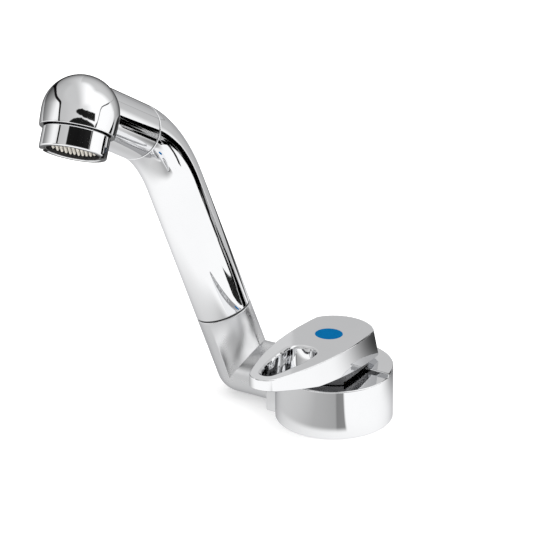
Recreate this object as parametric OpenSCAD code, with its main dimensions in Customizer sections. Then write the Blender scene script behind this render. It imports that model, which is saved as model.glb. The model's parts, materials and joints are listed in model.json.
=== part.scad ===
// Folding tap for a small basin: round base with a loop lever, an arm that folds
// about a side boss, a swivelling riser and a turning spout head, and the
// clamping parts and hose connector below the worktop.
// Millimetres. Origin: centre of the base's underside, on the worktop.
// +Z up, -Y to the front (lever tip and outlet), -X to the folding boss.

/* [Base] */
// Diameter of the round base
base_d = 50; // [48:1:54]
// Height of the raised rear part of the base
base_h = 23.2; // [23.2:0.1:24]
// Depth of the step down to the front part of the base
step_h = 1.4; // [1.0:0.1:1.5]
// Distance of the step wall behind the base's axis
step_y = 3; // [2:0.5:4]
// Bevel on the base's top edge
base_bevel = 0.6; // [0.3:0.1:0.8]
// Distance of the boss's end face from the base's axis
boss_reach = 26.5; // [26:0.1:27]
// Half width of the boss
boss_r = 12; // [11.8:0.1:12]

/* [Lever] */
// Length from the rotation axis to the lever's tip
lever_tip = 60.5; // [57:0.5:62]
// Length from the rotation axis to the top edge of the lever's rear end
lever_rear = 17.2; // [16.8:0.1:17.6]
// Growth of the rear end from the top to the underside
rear_flare = 2.6; // [1.6:0.1:3]
// Largest half width of the lever
lever_half = 15.1; // [14.9:0.1:15.2]
// Height of the lever's top above the worktop at the rotation axis
lever_top = 38.5; // [38.2:0.1:40]
// Rise of the lever's top towards the tip, in degrees
lever_tilt = 1.9; // [0:0.1:2.5]
// Thickness of the lever's body at the rotation axis
lever_t = 13.7; // [13.3:0.1:13.7]
// Slope of the underside towards the tip
lever_slope = 13.5; // [11:0.5:15]
// Slope of the lever's underside behind that
belly_slope = 5.3; // [4:0.1:6]
// Turning angle of the lever
lever_travel = 55; // [45:1:60]
// Diameter of the coloured disc on the lever
disc_d = 11.8; // [10:0.2:12]
// Distance of the coloured disc in front of the rotation axis
disc_y = 4.2; // [3:0.2:6]

/* [Arm] */
// Outer diameter of the arm's tube
tube_d = 24.1; // [23.6:0.1:24.2]
// Height of the folding axis above the worktop
fold_z = 12.4; // [12.4:0.1:12.6]
// Distance of the elbow's corner from the base's axis
elbow_x = 44.9; // [43:0.1:47]
// Outward lean of the riser
lean_out = 15.6; // [10:0.1:18]
// Forward lean of the riser
lean_fwd = 10.1; // [6:0.1:14]
// Length of the elbow's upper leg up to the lower seam
elbow_leg = 27.5; // [26:0.5:30]
// Distance from the elbow's corner to the corner of the upper bend
riser_len = 108; // [100:1:116]
// Angle of the upper bend
bend_a = 49.5; // [44:0.5:54]
// Centreline radius of the upper bend
bend_r = 40; // [38:1:44]
// Twist of the upper bend about the riser
bend_twist = 10.1; // [0:0.1:14]
// Folding angle of the arm
fold_travel = 75; // [60:1:78]

/* [Spout head] */
// Distance from the upper seam to the head's centre
head_reach = 40.8; // [38:0.2:44]
// Distance of the head's centre below the stub's axis
outlet_drop = 2.7; // [2.4:0.1:2.9]
// Forward tilt of the outlet
outlet_tilt = 2.2; // [0:0.2:3]
// Diameter of the head's dome
dome_d = 31.9; // [31.4:0.1:32]
// Length of the dome's straight skirt
skirt_l = 7.5; // [7.5:0.1:7.8]
// Diameter of the aerator housing
aerator_d = 27.8; // [27.8:0.2:28.2]
// Distance from the head's centre to the aerator's rim
rim_l = 16.6; // [16.2:0.1:17]
// Turn of the head about the upper seam
head_twist = 11; // [0:0.5:14]

/* [Below the worktop] */
// Diameter of the threaded shank
shank_d = 32; // [31:0.5:33]
// Length of the shank below the worktop's top face
shank_l = 50; // [46:1:56]
// Thickness of the worktop that is clamped
deck_t = 14; // [10:1:15]

/* [Hidden] */
// sub-parts in drawing order
// sub-part to draw
$fn = 96;
base_r = base_d / 2;
front_h = base_h - step_h;
tr = tube_d / 2;
dome_r = dome_d / 2;
aer_r = aerator_d / 2;
shank_r = shank_d / 2;
// half of each seam
seam = 0.3;
// radii of the two swivel spigots and their running clearance
fold_r = 7;
swivel_r = 8;
run = 0.05;
// lever outline: side arcs with a tangent tip circle, and a wider arc that cuts the rear end
side_r = 138;
side_y = -7.8;
side_x = side_r - lever_half;
rear_r = 16.4;
rear_y = lever_rear - rear_r;
tip_d = lever_tip + side_y;
tip_r = (side_r * side_r - side_x * side_x - tip_d * tip_d) / (2 * (side_r - tip_d));
tip_y = -lever_tip + tip_r;
tip_cut = tip_y - tip_r * (side_y - tip_y) / (side_r - tip_r);
// finger hole: round end, side arcs and small tip circle, all tangent
hole_r = 7.3;
hole_y = -lever_tip + 33.2;
hole_side = 90;
hole_x = hole_side - hole_r;
hole_d = 28.7;
hole_tip_r = (hole_side * hole_side - hole_x * hole_x - hole_d * hole_d) / (2 * (hole_side - hole_d));
hole_tip_y = hole_y - hole_d + hole_tip_r;
hole_cut = hole_tip_y - hole_tip_r * (hole_y - hole_tip_y) / (hole_side - hole_tip_r);
lever_z = lever_top - lever_t;
// hub under the lever: the lever's own arcs, set in
hub_inset = 1.4;
// upper bend
bend_t = bend_r * tan(bend_a / 2);
bend_z = riser_len - bend_t;
// inner lip of the aerator housing, under which the insert sits
lip_z = rim_l - 4.3;
// colours
chrome = [0.80, 0.81, 0.82];
steel = [0.62, 0.63, 0.65];
brass = [0.78, 0.62, 0.30];
black = [0.06, 0.06, 0.07];
white = [0.90, 0.90, 0.88];
blue = [0.07, 0.42, 0.82];

// ---- places ----

// elbow corner, local +X along the folding axis
module at_fold() translate([-elbow_x, 0, fold_z]) rotate([0, 90, 0]) children();

// elbow corner, local +Z up the riser, bend towards local -Y
module at_riser() translate([-elbow_x, 0, fold_z]) rotate([lean_fwd, 0, 0])
  rotate([0, -lean_out, 0]) rotate([0, 0, bend_twist]) children();

// upper seam, local +Z along the stub, outlet towards local -Y
module at_head() at_riser()
  translate([0, -bend_r * (1 - cos(bend_a)), bend_z + bend_r * sin(bend_a)])
    rotate([bend_a, 0, 0]) rotate([0, 0, -head_twist]) children();

// centre of the dome, local +Z along the outlet
module at_nozzle() at_head() translate([0, -outlet_drop, head_reach])
  rotate([90 - outlet_tilt, 0, 0]) children();

// coloured disc on the lever's sloping top
module at_disc() translate([0, -disc_y, lever_top + disc_y * tan(lever_tilt)])
  rotate([-lever_tilt, 0, 0]) children();

// ---- shared shapes ----

module ring(ro, ri, h) difference() {
  cylinder(r = ro, h = h);
  translate([0, 0, -1]) cylinder(r = ri, h = h + 2);
}

module torus(rc, rs) rotate_extrude() translate([rc, 0]) circle(r = rs, $fn = 32);

// tube leg with a bevelled far end
module leg(r, h, b) {
  cylinder(r = r, h = h - b);
  translate([0, 0, h - b]) cylinder(r1 = r, r2 = r - b, h = b);
}

module bend(r) translate([0, -bend_r, 0]) rotate([90, 0, 90])
  rotate_extrude(angle = bend_a) translate([bend_r, 0]) circle(r = r);

// side arcs and tip, open to the rear
module lever_outline() {
  intersection() {
    translate([-side_x, side_y]) circle(r = side_r, $fn = 180);
    translate([side_x, side_y]) circle(r = side_r, $fn = 180);
    translate([-20, tip_cut]) square([40, 25 - tip_cut]);
  }
  translate([0, tip_y]) circle(r = tip_r);
}

module finger_hole() {
  intersection() {
    translate([-hole_x, hole_y]) circle(r = hole_side, $fn = 180);
    translate([hole_x, hole_y]) circle(r = hole_side, $fn = 180);
    translate([-20, hole_cut]) square([40, hole_y - hole_cut]);
  }
  translate([0, hole_tip_y]) circle(r = hole_tip_r, $fn = 48);
  translate([0, hole_y]) circle(r = hole_r);
}

// outline of the hub under the lever, set in from the lever's sides
module hub_outline() intersection() {
  translate([-side_x, side_y]) circle(r = side_r - hub_inset, $fn = 180);
  translate([side_x, side_y]) circle(r = side_r - hub_inset, $fn = 180);
  translate([0, 2]) circle(r = 20.5);
  union() {
    translate([0, rear_y]) circle(r = rear_r - hub_inset - 1);
    translate([-20, -40]) square([40, 40 + rear_y]);
  }
}

// ---- base ----

// round casting with the side boss, the valve chamber and the folding bore
module base_body() color(chrome) difference() {
  union() {
    rotate_extrude() polygon([[0, 0], [base_r, 0], [base_r, base_h - base_bevel],
      [base_r - base_bevel, base_h], [0, base_h]]);
    translate([-boss_reach, -boss_r, 0]) cube([boss_reach - 16, 2 * boss_r, fold_z]);
    translate([-boss_reach, 0, fold_z]) rotate([0, 90, 0]) cylinder(r = boss_r, h = boss_reach - 16);
  }
  // lowered front part of the top
  translate([-16, -40, front_h]) cube([60, 40 + step_y, 10]);
  // valve chamber and its inlet
  translate([0, 0, 6]) cylinder(r = 9.5, h = 30);
  translate([0, 0, 4]) cylinder(r = 4, h = 3);
  translate([0, 0, -1]) cylinder(r = 6.55, h = 5.6);
  // seat of the shank's flange
  translate([0, 0, -1]) cylinder(r = 20.05, h = 3.5);
  // gasket groove
  translate([0, 0, -1]) ring(24.05, 20.95, 2.55);
  // folding bore and its water way
  translate([-boss_reach - 1, 0, fold_z]) rotate([0, 90, 0]) cylinder(r = fold_r + run, h = boss_reach - 10);
  translate([-12, 0, fold_z]) rotate([0, 90, 0]) cylinder(r = 2.5, h = 5);
  // lock screw hole
  translate([-22.5, 0, 1]) cylinder(r = 2.05, h = 6);
  // flange screw holes
  for (a = [90, 210, 330]) rotate([0, 0, a]) translate([18, 0, 2]) cylinder(r = 1.25, h = 5.5, $fn = 32);
}

module base_gasket() color(black) ring(24, 21, 1.5);

// shank with its screwed-on flange and a relief groove below the nut
module threaded_shank() color(white) difference() {
  rotate_extrude() polygon([[12, 2.45], [20, 2.45], [20, 0.3], [shank_r, 0.3],
    [shank_r, -28.2], [shank_r - 0.6, -28.2], [shank_r - 0.6, -29.2], [shank_r, -29.2],
    [shank_r, 1 - shank_l], [shank_r - 1, -shank_l], [12, -shank_l]]);
  for (a = [90, 210, 330]) rotate([0, 0, a]) translate([18, 0, 0]) {
    cylinder(r = 1.3, h = 5, $fn = 32);
    cylinder(r = 1.75, h = 1.6, $fn = 32);
  }
}

module flange_screws() color(steel) for (a = [90, 210, 330]) rotate([0, 0, a]) translate([18, 0, 0.35])
  difference() {
    union() {
      cylinder(r = 1.7, h = 1.2, $fn = 32);
      cylinder(r = 1.2, h = 6.5, $fn = 32);
    }
    translate([0, 0, -1]) linear_extrude(1.7) circle(r = 0.8, $fn = 6);
  }

module sealing_washer() color(black) translate([0, 0, -deck_t - 2]) ring(23, shank_r + 0.1, 2);

module thrust_washer() color(steel) translate([0, 0, -deck_t - 3.25]) ring(23, shank_r + 0.1, 1.2);

// hexagon nut with a round flange
module backnut() color(white) translate([0, 0, -deck_t - 13.3]) difference() {
  union() {
    linear_extrude(8) circle(r = 23, $fn = 6);
    translate([0, 0, 8]) cylinder(r = 23.5, h = 2);
  }
  translate([0, 0, -1]) cylinder(r = shank_r + run, h = 12);
}

// tube that carries the water up to the valve and holds the hose connector
module inlet_socket() color(brass) difference() {
  union() {
    translate([0, 0, -58]) cylinder(r = 8, h = 60.4);
    translate([0, 0, 2]) cylinder(r = 6.5, h = 2.5);
  }
  translate([0, 0, -59]) cylinder(r = 4.8 + run, h = 22);
  translate([0, 0, -40]) cylinder(r = 3.5, h = 50);
  for (s = [-1, 1]) translate([-10, s * 4.9 - 1.2, -53]) cube([20, 2.4, 2]);
}

// U-shaped spring clip through the socket's two slots
module inlet_clip() color(steel) translate([0, 0, -52.8]) {
  linear_extrude(1.6) union() {
    for (s = [-1, 1]) translate([-8.8, s * 4.9 - 1]) square([18, 2]);
    translate([8.3, -5.9]) square([1.8, 11.8]);
  }
}

module seat_seal() color(black) translate([0, 0, 6]) ring(9.4, 7, 0.95);

module fixed_disc() color(white) translate([0, 0, 7]) difference() {
  cylinder(r = 9.4, h = 2.5);
  for (s = [-1, 1]) translate([s * 4.6, 0, -1]) cylinder(r = 2, h = 5, $fn = 48);
}

// screwed ring that closes the valve chamber, with two key slots
module valve_bonnet() color(brass) translate([0, 0, 14.8]) difference() {
  cylinder(r = 9.4, h = 6.4);
  translate([0, 0, -1]) cylinder(r = 4.5 + run, h = 9);
  translate([-12, -1.2, 5.2]) cube([5, 2.4, 3]);
  translate([7, -1.2, 5.2]) cube([5, 2.4, 3]);
}

// dog-point screw under the folding spigot: holds it and limits its turn
module fold_lock_screw() color(steel) translate([-22.5, 0, 0]) difference() {
  union() {
    translate([0, 0, 1.7]) cylinder(r = 2, h = 3.3, $fn = 48);
    translate([0, 0, 4]) cylinder(r = 1.4, h = 2.6, $fn = 48);
  }
  translate([0, 0, 1]) linear_extrude(2.2) circle(r = 1.1, $fn = 6);
}

// ---- lever ----

module lever() color(chrome) difference() {
  union() {
    difference() {
      intersection() {
        translate([0, 0, lever_z]) linear_extrude(lever_t + 5) difference() {
          lever_outline();
          finger_hole();
        }
        // flared rear end
        union() {
          translate([0, rear_y, lever_z - lever_t]) cylinder(r1 = rear_r + 2 * rear_flare, r2 = rear_r - rear_flare, h = 3 * lever_t);
          translate([-25, -80, lever_z - 1]) cube([50, 80 + rear_y, 25]);
        }
      }
      // top, rising towards the tip
      translate([0, 0, lever_top]) rotate([-lever_tilt, 0, 0]) translate([-30, -80, 0]) cube([60, 120, 20]);
      // underside, rising towards the tip in two slopes
      translate([0, 12, lever_z]) rotate([-belly_slope, 0, 0]) translate([-30, -80, -20]) cube([60, 80, 20]);
      translate([0, -33, lever_z + 45 * tan(belly_slope)]) rotate([-lever_slope, 0, 0]) translate([-30, -60, -20]) cube([60, 60, 20]);
    }
    // hub
    translate([0, 0, base_h + 0.3]) linear_extrude(lever_top - 10.5 - base_h) hub_outline();
    // stop lug in the lowered front part
    intersection() {
      translate([0, 0, front_h + 0.3]) linear_extrude(3) hub_outline();
      translate([-20, -40, 10]) cube([40, 39.7 + step_y, 30]);
      rotate([0, 0, -lever_travel]) translate([-20, -40, 10]) cube([40, 39.7 + step_y, 30]);
    }
  }
  // spindle socket
  translate([0, 0, 10]) cylinder(r = 4.6, h = base_h - 9.5);
  translate([0, 0, 10]) cylinder(r = 4 + run, h = 24);
  // grub screw hole at the rear
  translate([0, 2, 31.5]) rotate([-90, 0, 0]) cylinder(r = 2.05, h = 20, $fn = 48);
  // seat of the coloured disc
  at_disc() translate([0, 0, -1.2]) cylinder(r = disc_d / 2 + run, h = 5);
}

module index_disc() color(blue) at_disc() translate([0, 0, -1.15]) cylinder(r = disc_d / 2, h = 1.2);

module lever_grub_screw() color(steel) translate([0, 3.1, 31.5]) rotate([-90, 0, 0]) difference() {
  cylinder(r = 2, h = 6, $fn = 48);
  translate([0, 0, 3.5]) linear_extrude(5) circle(r = 1.15, $fn = 6);
}

// spindle with its drive tang, seal groove and a flat for the grub screw
module valve_spindle() color(brass) difference() {
  union() {
    translate([0, 0, 12.2]) cylinder(r = 6.5, h = 2.3);
    translate([0, 0, 12.2]) cylinder(r = 4.5, h = base_h - 12.2);
    translate([0, 0, 12.2]) cylinder(r = 4, h = 21.5);
    rotate([0, 0, 35]) translate([-4, -1, 10.9]) cube([8, 2, 2]);
  }
  translate([0, 0, 17]) ring(6, 2.9, 1.9);
  translate([-5, 3, 27]) cube([10, 5, 10]);
}

module moving_disc() color(white) translate([0, 0, 9.55]) difference() {
  cylinder(r = 8, h = 2.5);
  for (s = [-1, 1]) rotate([0, 0, -lever_travel]) translate([s * 4.6, 0, -1]) cylinder(r = 2, h = 5, $fn = 48);
  rotate([0, 0, 35]) translate([-4.1, -1.1, 1.2]) cube([8.2, 2.2, 3]);
}

module spindle_o_ring() color(black) translate([0, 0, 17.95]) torus(3.72, 0.78);

// ---- folding elbow ----

module lower_elbow() color(chrome) difference() {
  union() {
    at_fold() leg(tr, elbow_x - boss_reach - 2 * seam, 0.4);
    at_fold() sphere(r = tr + 0.05);
    at_riser() leg(tr, elbow_leg - seam, 0.4);
    // spigots into the boss and into the riser
    at_fold() cylinder(r = fold_r, h = elbow_x - 13.8);
    at_riser() cylinder(r = swivel_r, h = elbow_leg + 13.5);
  }
  // water way
  at_fold() translate([0, 0, -4]) cylinder(r = 4, h = elbow_x + 4);
  at_riser() translate([0, 0, -3]) cylinder(r = 4, h = elbow_leg + 23);
  // seal grooves of the folding spigot
  for (x = [19.2, 16.2]) at_fold() translate([0, 0, elbow_x - x - 0.95]) ring(9, 5.4, 1.9);
  // part-turn groove of the lock screw
  at_fold() translate([0, 0, elbow_x - 22.5]) rotate([0, 0, -fold_travel - 16])
    rotate_extrude(angle = fold_travel + 32) translate([5.4, -1.75]) square([3, 3.5]);
  // seal and snap ring grooves of the riser spigot
  for (z = [3.2, 6.2]) at_riser() translate([0, 0, elbow_leg + z - 0.95]) ring(10, 6.35, 1.9);
  at_riser() translate([0, 0, elbow_leg + 9.6]) ring(10, 7, 1.3);
}

module fold_o_rings() color(black) for (x = [19.2, 16.2]) at_fold()
  translate([0, 0, elbow_x - x]) torus(6.22, 0.78);

module fold_glide_ring() color(black) at_fold()
  translate([0, 0, elbow_x - boss_reach - 2 * seam + run]) ring(tr - 0.7, fold_r + 0.2, 2 * seam - 2 * run);

module riser_o_rings() color(black) for (z = [3.2, 6.2]) at_riser()
  translate([0, 0, elbow_leg + z]) torus(7.2, 0.8);

module riser_snap_ring() color(steel) at_riser() translate([0, 0, elbow_leg + 9.65]) difference() {
  ring(8.45, 7.05, 1.2);
  translate([0, -0.8, -1]) cube([12, 1.6, 4]);
}

module riser_glide_ring() color(black) at_riser()
  translate([0, 0, elbow_leg - seam + run]) ring(tr - 0.7, swivel_r + 0.2, 2 * seam - 2 * run);

// ---- riser ----

module riser_tube() color(chrome) at_riser() difference() {
  union() {
    translate([0, 0, bend_z]) mirror([0, 0, 1]) leg(tr, bend_z - elbow_leg - seam, 0.4);
    translate([0, 0, bend_z]) bend(tr);
  }
  // lower socket with its snap ring groove, then the water way
  translate([0, 0, elbow_leg - 1]) cylinder(r = swivel_r + run, h = 16);
  translate([0, 0, elbow_leg + 9.35]) cylinder(r = 8.75, h = 1.8);
  translate([0, 0, elbow_leg + 14]) cylinder(r = 7, h = bend_z - elbow_leg - 14);
  translate([0, 0, bend_z]) bend(7);
  // upper socket
  translate([0, -bend_r * (1 - cos(bend_a)), bend_z + bend_r * sin(bend_a)]) rotate([bend_a, 0, 0]) {
    translate([0, 0, -14]) cylinder(r = swivel_r + run, h = 15);
    translate([0, 0, -11.15]) cylinder(r = 8.75, h = 1.8);
  }
}

// ---- spout head ----

module spout_head() color(chrome) difference() {
  union() {
    at_head() translate([0, 0, head_reach]) mirror([0, 0, 1]) leg(tr, head_reach - 2 * seam, 0.4);
    at_nozzle() sphere(r = dome_r);
    at_nozzle() cylinder(r = dome_r, h = skirt_l);
    at_head() translate([0, 0, -13.5]) cylinder(r = swivel_r, h = 20);
  }
  // water way
  at_head() translate([0, 0, -15]) cylinder(r = 4, h = head_reach + 15);
  at_head() translate([0, 0, 4]) cylinder(r = 8, h = head_reach - 12);
  // relief under the stub around the aerator housing
  at_nozzle() translate([0, 0, skirt_l]) cylinder(r = aer_r + 0.35, h = 20);
  // aerator thread and the chamber above it
  at_nozzle() translate([0, 0, -2.2]) cylinder(r = 12, h = 20);
  at_nozzle() translate([0, 0, -7.5]) cylinder(r = 9, h = 9);
  // seal and snap ring grooves of the spigot
  for (z = [3.2, 6.2]) at_head() translate([0, 0, -z - 0.95]) ring(10, 6.35, 1.9);
  at_head() translate([0, 0, -10.9]) ring(10, 7, 1.3);
}

module head_o_rings() color(black) for (z = [3.2, 6.2]) at_head() translate([0, 0, -z]) torus(7.2, 0.8);

module head_snap_ring() color(steel) at_head() translate([0, 0, -10.85]) difference() {
  ring(8.45, 7.05, 1.2);
  translate([0, -0.8, -1]) cube([12, 1.6, 4]);
}

module head_glide_ring() color(black) at_head()
  translate([0, 0, run]) ring(tr - 0.7, swivel_r + 0.2, 2 * seam - 2 * run);

// screwed aerator housing with an inner lip and two key notches
module aerator_housing() color(chrome) at_nozzle() difference() {
  rotate_extrude() polygon([[10.6, -0.4], [11.95, -0.4], [11.95, skirt_l + 0.4], [aer_r - 0.4, skirt_l + 0.4],
    [aer_r, skirt_l + 0.8], [aer_r, rim_l - 0.8], [aer_r - 0.8, rim_l], [11.9, rim_l], [11.5, rim_l - 0.4],
    [11.5, lip_z], [10.6, lip_z - 0.8]]);
  for (a = [-14, 166]) rotate([0, 0, a]) translate([10, -2.2, rim_l - 4]) cube([6, 4.4, 6]);
}

module aerator_seal() color(black) at_nozzle() translate([0, 0, -2]) ring(11.8, 9.2, 1.55);

module aerator_screen() color(steel) at_nozzle() translate([0, 0, lip_z - 2.4]) difference() {
  cylinder(r = 10.4, h = 1);
  for (i = [0 : 11]) rotate([0, 0, 30 * i]) translate([7.4, 0, -1]) cylinder(r = 1.1, h = 3, $fn = 24);
  for (i = [0 : 5]) rotate([0, 0, 60 * i]) translate([3.6, 0, -1]) cylinder(r = 1.1, h = 3, $fn = 24);
}

// flow straightener with a honeycomb of through cells
module aerator_insert() color(white) at_nozzle() translate([0, 0, lip_z + 0.3]) difference() {
  cylinder(r = 10.7, h = 2.7);
  for (q = [-3 : 3]) for (p = [-3 : 3]) if (abs(p + q) <= 3)
    translate([2.75 * (q + p / 2), 2.75 * p * sqrt(3) / 2, -1])
      linear_extrude(5) rotate([0, 0, 30]) circle(r = 1.25, $fn = 6);
}

// ---- hose connector ----

// spigot with seal and clip grooves, angled corner and a ribbed tail
module hose_connector() color(blue) translate([0, 0, -66]) difference() {
  union() {
    rotate_extrude() polygon([[0, 0], [4.4, 0], [4.4, 5], [6, 5.6], [6, 7.6], [4.8, 7.7], [4.8, 12.7], [3.6, 12.7],
      [3.6, 15.3], [4.8, 15.3], [4.8, 17.6], [3.75, 17.6], [3.75, 19.5], [4.8, 19.5], [4.8, 27.4], [4.2, 28], [0, 28]]);
    sphere(r = 4.45, $fn = 64);
    rotate([-135, 0, 0]) rotate_extrude() polygon([[0, 0], [4.4, 0], [4.4, 5.5], [5.3, 6.6], [5.7, 7.8], [5.7, 8.6],
      [5.2, 10], [4.4, 11], [5.3, 12.1], [5.7, 13.3], [5.7, 14.1], [5.2, 15.5], [4.2, 16.5], [4.8, 17.5], [5.05, 18.5],
      [5.05, 19.2], [4.6, 20.6], [4, 21.4], [4.7, 22.2], [4.9, 22.9], [4.9, 25.4], [4.4, 26.2], [0, 26.2]]);
  }
  translate([0, 0, -0.5]) cylinder(r = 2.9, h = 40, $fn = 64);
  sphere(r = 2.95, $fn = 64);
  rotate([-135, 0, 0]) cylinder(r = 2.9, h = 40, $fn = 64);
}

module connector_o_ring() color(black) translate([0, 0, -47.45]) torus(4.27, 0.5);

base_body();
base_gasket();
threaded_shank();
flange_screws();
sealing_washer();
thrust_washer();
backnut();
inlet_socket();
inlet_clip();
seat_seal();
fixed_disc();
valve_bonnet();
fold_lock_screw();
lever();
index_disc();
lever_grub_screw();
valve_spindle();
moving_disc();
spindle_o_ring();
lower_elbow();
fold_o_rings();
fold_glide_ring();
riser_o_rings();
riser_snap_ring();
riser_glide_ring();
riser_tube();
spout_head();
head_o_rings();
head_snap_ring();
head_glide_ring();
aerator_housing();
aerator_seal();
aerator_screen();
aerator_insert();
hose_connector();
connector_o_ring();
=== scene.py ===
import json
import math

import bmesh
import bpy
from mathutils import Matrix, Vector


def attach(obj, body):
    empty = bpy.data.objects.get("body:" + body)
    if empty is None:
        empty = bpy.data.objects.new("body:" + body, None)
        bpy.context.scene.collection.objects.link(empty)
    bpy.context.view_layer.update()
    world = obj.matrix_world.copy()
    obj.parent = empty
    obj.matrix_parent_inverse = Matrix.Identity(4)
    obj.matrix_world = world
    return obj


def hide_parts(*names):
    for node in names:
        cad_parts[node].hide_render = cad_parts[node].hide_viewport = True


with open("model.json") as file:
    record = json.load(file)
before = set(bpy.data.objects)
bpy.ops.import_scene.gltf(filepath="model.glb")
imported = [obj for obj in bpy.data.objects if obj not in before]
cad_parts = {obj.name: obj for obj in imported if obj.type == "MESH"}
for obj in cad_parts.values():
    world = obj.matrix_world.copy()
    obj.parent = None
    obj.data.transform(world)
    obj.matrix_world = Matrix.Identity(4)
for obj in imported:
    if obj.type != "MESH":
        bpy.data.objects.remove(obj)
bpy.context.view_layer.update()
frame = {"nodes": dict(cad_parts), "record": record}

MM = 0.001

# ---------------------------------------------------------------- sizes (mm), as in the CAD

BASE_R, BASE_H, FRONT_H, STEP_Y = 25.0, 23.2, 21.8, 3.0
BOSS_X, BOSS_R = -26.5, 12.0
FOLD_Z, ELBOW_X, TUBE_R = 12.4, -44.9, 12.05
LEAN_OUT, LEAN_FWD, TWIST = 15.6, 10.1, 10.1
LEG, RISER_L, BEND_A, BEND_R = 27.5, 108.0, 49.5, 40.0
HEAD_REACH, HEAD_TWIST, OUT_DROP, OUT_TILT = 40.8, 11.0, 2.7, 2.2
DOME_R, SKIRT, AER_R, RIM = 15.95, 7.5, 13.9, 16.6
LIP = RIM - 4.3
LEVER_TOP, LEVER_Z, TILT, BELLY, SLOPE, TRAVEL = 38.5, 24.8, 1.9, 5.3, 13.5, 55.0
LEVER_TIP, LEVER_HALF, LEVER_REAR, REAR_R, FLARE, DISC_Y = 60.5, 15.1, 17.2, 16.4, 2.6, 4.2
SIDE_R, SIDE_Y = 138.0, -7.8
SIDE_X = SIDE_R - LEVER_HALF
REAR_Y = LEVER_REAR - REAR_R
TIP_R = (SIDE_R**2 - SIDE_X**2 - (LEVER_TIP + SIDE_Y) ** 2) / (2 * (SIDE_R - LEVER_TIP - SIDE_Y))
TIP_Y = TIP_R - LEVER_TIP
SEAM = 0.3


def rot(axis, deg):
    return Matrix.Rotation(math.radians(deg), 4, axis)


AT_FOLD = Matrix.Translation((ELBOW_X, 0, FOLD_Z)) @ rot("Y", 90)
AT_RISER = (
    Matrix.Translation((ELBOW_X, 0, FOLD_Z))
    @ rot("X", LEAN_FWD)
    @ rot("Y", -LEAN_OUT)
    @ rot("Z", TWIST)
)
BEND_Z = RISER_L - BEND_R * math.tan(math.radians(BEND_A / 2))
AT_STUB = (
    AT_RISER
    @ Matrix.Translation(
        (
            0,
            -BEND_R * (1 - math.cos(math.radians(BEND_A))),
            BEND_Z + BEND_R * math.sin(math.radians(BEND_A)),
        )
    )
    @ rot("X", BEND_A)
)
AT_HEAD = AT_STUB @ rot("Z", -HEAD_TWIST)
AT_NOZZLE = AT_HEAD @ Matrix.Translation((0, -OUT_DROP, HEAD_REACH)) @ rot("X", 90 - OUT_TILT)

# ---------------------------------------------------------------- mesh building


class Build:
    """Vertices in mm with their own normals, and faces; one object at the end."""

    def __init__(self):
        self.co, self.no, self.faces = [], [], []

    def add(self, p, n):
        self.co.append(Vector(p))
        self.no.append(Vector(n).normalized() if Vector(n).length > 1e-9 else Vector((0, 0, 1)))
        return len(self.co) - 1

    def face(self, *ix):
        ix = [i for k, i in enumerate(ix) if i != ix[k - 1]]
        if len(ix) > 2:
            self.faces.append(ix)

    def grid(self, rows, close_u=True, close_v=False, flip=False):
        """Quads between successive rows of vertex numbers."""
        n = len(rows)
        for i in range(n if close_v else n - 1):
            a, b = rows[i], rows[(i + 1) % n]
            m = len(a)
            for j in range(m if close_u else m - 1):
                k = (j + 1) % m
                q = (a[j], a[k], b[k], b[j])
                self.face(*(reversed(q) if flip else q))

    def object(self, name, body, slot, mat, nodes=()):
        me = bpy.data.meshes.new(name)
        me.from_pydata([tuple(c * MM) for c in self.co], [], self.faces)
        me.polygons.foreach_set("use_smooth", [True] * len(me.polygons))
        me.validate(clean_customdata=False)
        me.normals_split_custom_set_from_vertices([tuple(n) for n in self.no])
        me.materials.append(mat)
        ob = bpy.data.objects.new(name, me)
        bpy.context.scene.collection.objects.link(ob)
        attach(ob, body)
        if nodes:
            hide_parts(*nodes)
        return ob


def rounded(pts, closed, k=5):
    """Polyline with corners [x, y, radius] turned into [x, y, nx, ny] points; normals are to the right of the path.
    A corner with radius 0 gives two points, one for each side."""
    out, n = [], len(pts)
    for i, (x, y, r) in enumerate(pts):
        p = Vector((x, y))
        has_a, has_b = closed or i > 0, closed or i < n - 1
        a = Vector(pts[i - 1][:2]) if has_a else None
        b = Vector(pts[(i + 1) % n][:2]) if has_b else None
        da = (p - a).normalized() if has_a else None
        db = (b - p).normalized() if has_b else None
        if da is None or db is None:
            d = db if da is None else da
            out.append((p.x, p.y, d.y, -d.x))
            continue
        turn = math.atan2(da.x * db.y - da.y * db.x, da.dot(db))
        if abs(turn) < 1e-4:
            out.append((p.x, p.y, da.y, -da.x))
            continue
        if r <= 0:
            out.append((p.x, p.y, da.y, -da.x))
            out.append((p.x, p.y, db.y, -db.x))
            continue
        t = min(r * math.tan(abs(turn) / 2), 0.49 * (p - a).length, 0.49 * (b - p).length)
        r = t / math.tan(abs(turn) / 2)
        s = 1 if turn > 0 else -1
        start = p - da * t
        c = start + Vector((-da.y, da.x)) * r * s
        steps = max(2, int(round(k * abs(turn) / (math.pi / 2))))
        for q in range(steps + 1):
            f = turn * q / steps
            v = start - c
            w = Vector((v.x * math.cos(f) - v.y * math.sin(f), v.x * math.sin(f) + v.y * math.cos(f)))
            d = Vector((da.x * math.cos(f) - da.y * math.sin(f), da.x * math.sin(f) + da.y * math.cos(f)))
            out.append((c.x + w.x, c.y + w.y, d.y, -d.x))
    return out


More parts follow.
